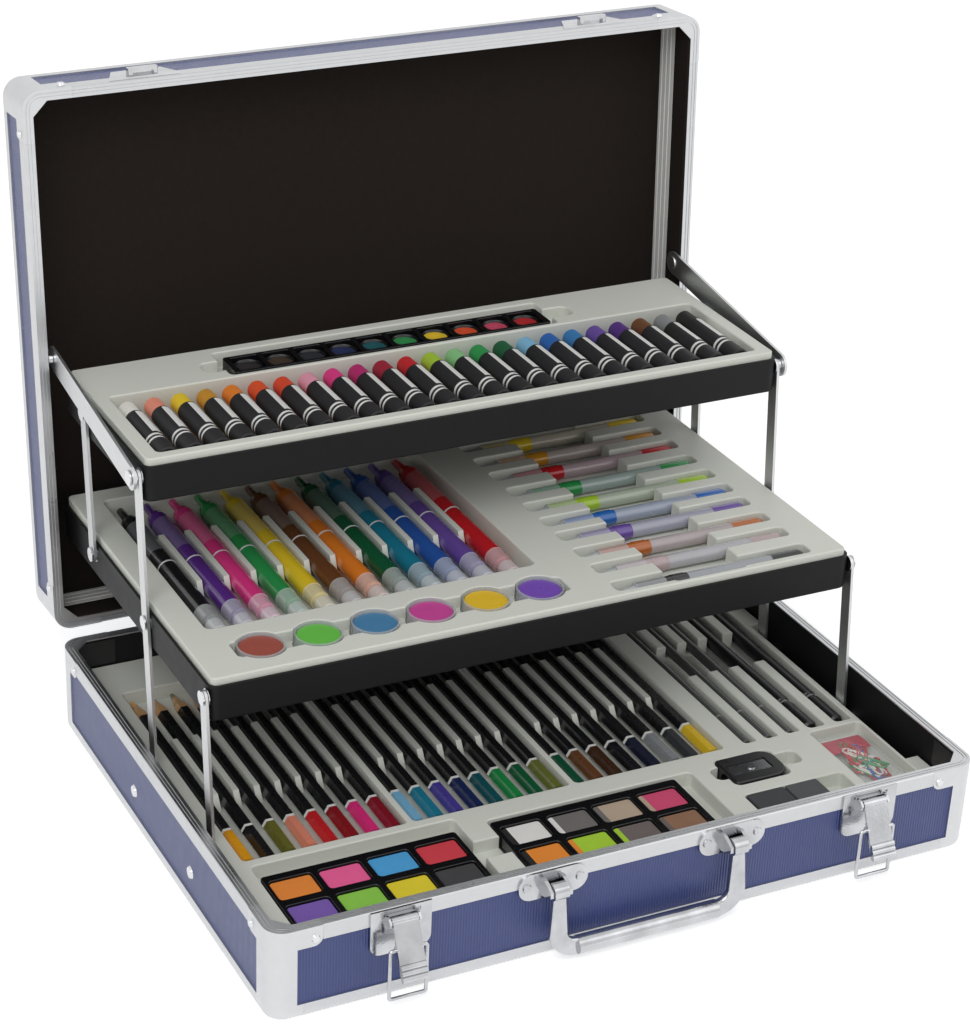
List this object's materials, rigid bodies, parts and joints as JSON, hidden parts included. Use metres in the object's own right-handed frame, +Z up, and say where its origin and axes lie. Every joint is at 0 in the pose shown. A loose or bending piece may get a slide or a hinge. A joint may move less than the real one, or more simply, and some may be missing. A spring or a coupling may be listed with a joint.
{
  "type": "drawing set case",
  "caption": "Aluminium-edged art case, open, with two trays that rise on linked arms, filled with pencils, pastels, markers, pens and paints.",
  "frame": {"origin": "centre of the case's underside, on the surface it stands on", "axes": "+X to the right along the hinge line, +Y to the hinges at the back, +Z up; the handle faces -Y"},
  "size_m": [0.412, 0.3959, 0.3716],
  "materials": {
    "case_board": "matt black lined board",
    "blue_panel": "fine ribbed blue sheet",
    "aluminium_trim": "satin anodised",
    "corner_steel": "satin plated",
    "rivet_steel": "plated",
    "inner_strip": "grooved, satin",
    "lining_cloth": "black lining",
    "bracket_black": "satin black",
    "latch_chrome": "bright plated",
    "handle_chrome": "bright plated",
    "hinge_steel": "plated",
    "arm_steel": "satin plated strip",
    "grey_insert": "moulded light grey",
    "tray_black": "satin black",
    "pencil_wood": "painted coloured pencils",
    "stick_black": "satin black",
    "sharpener_body": "satin silver",
    "blade_steel": "bright",
    "eraser_rubber": "matt",
    "palette_black": "glossy black",
    "cake_paint": "pressed colour cakes",
    "clip_bag_film": "clear film",
    "marker_plastic": "coloured plastic",
    "pot_plastic": "clear plastic",
    "pot_paint": "paint",
    "pen_plastic": "coloured plastic",
    "pastel_wrap": "wrapped oil pastels",
    "crayon_wax": "wax crayons"
  },
  "bodies": {
    "base": {"base_shell": "case_board", "base_panels": "blue_panel", "base_rim_trim": "aluminium_trim", "base_foot_trim": "aluminium_trim", "base_corner_guards": "corner_steel", "base_rivets": "rivet_steel", "base_inner_brackets": "bracket_black", "base_insert": "grey_insert", "pencils_warm": "pencil_wood", "pencils_cool": "pencil_wood", "pencils_dark": "pencil_wood", "drawing_sticks": "stick_black", "sharpener": "sharpener_body", "sharpener_blade": "blade_steel", "erasers": "eraser_rubber", "palettes": "palette_black", "palette_cakes": "cake_paint", "clip_bag": "clip_bag_film", "latch_plates": "latch_chrome", "handle_brackets": "handle_chrome", "hinge_leaves_base": "hinge_steel"},
    "lid": {"lid_shell": "case_board", "lid_panels": "blue_panel", "lid_top_panel": "blue_panel", "lid_rim_trim": "aluminium_trim", "lid_edge_trim": "aluminium_trim", "lid_corner_guards": "corner_steel", "lid_rivets": "rivet_steel", "lid_inner_trim": "inner_strip", "lid_lining": "lining_cloth", "lid_catches": "latch_chrome", "hinge_leaves_lid": "hinge_steel"},
    "main_arms": {"main_arm_left": "arm_steel", "main_arm_right": "arm_steel"},
    "front_arms": {"front_arm_left": "arm_steel", "front_arm_right": "arm_steel"},
    "upper_arms": {"upper_arm_left": "arm_steel", "upper_arm_right": "arm_steel"},
    "lid_links": {"lid_link_left": "arm_steel", "lid_link_right": "arm_steel"},
    "mid_tray": {"mid_tray_shell": "tray_black", "mid_tray_insert": "grey_insert", "mid_tray_rivets": "rivet_steel", "markers": "marker_plastic", "paint_pots": "pot_plastic", "pot_paints": "pot_paint", "gel_pens": "pen_plastic"},
    "top_tray": {"top_tray_shell": "tray_black", "top_tray_insert": "grey_insert", "top_tray_rivets": "rivet_steel", "pastels": "pastel_wrap", "crayons": "crayon_wax", "watercolour_box": "palette_black", "watercolour_pans": "cake_paint"},
    "handle_body": {"handle": "handle_chrome"},
    "lever_left": {"latch_lever_left": "latch_chrome"},
    "lever_right": {"latch_lever_right": "latch_chrome"},
    "bail_left": {"latch_bail_left": "latch_chrome"},
    "bail_right": {"latch_bail_right": "latch_chrome"}
  },
  "joints": [
    {"name": "lid_hinge", "type": "hinge", "parent": "base", "child": "lid", "pos_m": [0, 0.1607, 0.0509], "axis": [1, 0, 0], "range_deg": [0, 93.65]},
    {"name": "main_arm_pivot", "type": "hinge", "parent": "base", "child": "main_arms", "pos_m": [0, 0.0364, 0.0221], "axis": [1, 0, 0], "range_deg": [0, 78.25]},
    {"name": "front_arm_pivot", "type": "hinge", "parent": "base", "child": "front_arms", "pos_m": [0, -0.0476, 0.0221], "axis": [1, 0, 0], "range_deg": [0, 78.25]},
    {"name": "mid_tray_pivot", "type": "hinge", "parent": "main_arms", "child": "mid_tray", "pos_m": [0, 0.0456, 0.119], "axis": [1, 0, 0], "range_deg": [-78.25, 0]},
    {"name": "top_tray_pivot", "type": "hinge", "parent": "main_arms", "child": "top_tray", "pos_m": [0, 0.0533, 0.201], "axis": [1, 0, 0], "range_deg": [-78.25, 0]},
    {"name": "upper_arm_pivot", "type": "hinge", "parent": "mid_tray", "child": "upper_arms", "pos_m": [0, 0.1296, 0.119], "axis": [1, 0, 0], "range_deg": [0, 78.25]},
    {"name": "lid_link_pivot", "type": "hinge", "parent": "top_tray", "child": "lid_links", "pos_m": [0, 0.0533, 0.201], "axis": [1, 0, 0], "range_deg": [-16.6, 0]},
    {"name": "handle_pivot", "type": "hinge", "parent": "base", "child": "handle_body", "pos_m": [0, -0.163, 0.0435], "axis": [-1, 0, 0], "range_deg": [0, 100]},
    {"name": "bail_pivot_left", "type": "hinge", "parent": "lever_left", "child": "bail_left", "pos_m": [-0.136, -0.16642, 0.03481], "axis": [-1, 0, 0], "range_deg": [0, 208.4]},
    {"name": "bail_pivot_right", "type": "hinge", "parent": "lever_right", "child": "bail_right", "pos_m": [0.136, -0.16642, 0.03481], "axis": [-1, 0, 0], "range_deg": [0, 208.4]},
    {"name": "lever_pivot_left", "type": "hinge", "parent": "base", "child": "lever_left", "pos_m": [-0.136, -0.1605, 0.0475], "axis": [1, 0, 0], "range_deg": [0, 25]},
    {"name": "lever_pivot_right", "type": "hinge", "parent": "base", "child": "lever_right", "pos_m": [0.136, -0.1605, 0.0475], "axis": [1, 0, 0], "range_deg": [0, 25]}
  ],
  "couplings": [
    {"joint": "main_arm_pivot", "follows": "lid_hinge", "ratio": 0.83556},
    {"joint": "front_arm_pivot", "follows": "lid_hinge", "ratio": 0.83556},
    {"joint": "mid_tray_pivot", "follows": "lid_hinge", "ratio": -0.83556},
    {"joint": "top_tray_pivot", "follows": "lid_hinge", "ratio": -0.83556},
    {"joint": "upper_arm_pivot", "follows": "lid_hinge", "ratio": 0.83556},
    {"joint": "lid_link_pivot", "follows": "lid_hinge", "ratio": -0.17671},
    {"joint": "lever_pivot_left", "follows": "bail_pivot_left", "ratio": 0.11996},
    {"joint": "lever_pivot_right", "follows": "bail_pivot_right", "ratio": 0.11996}
  ]
}
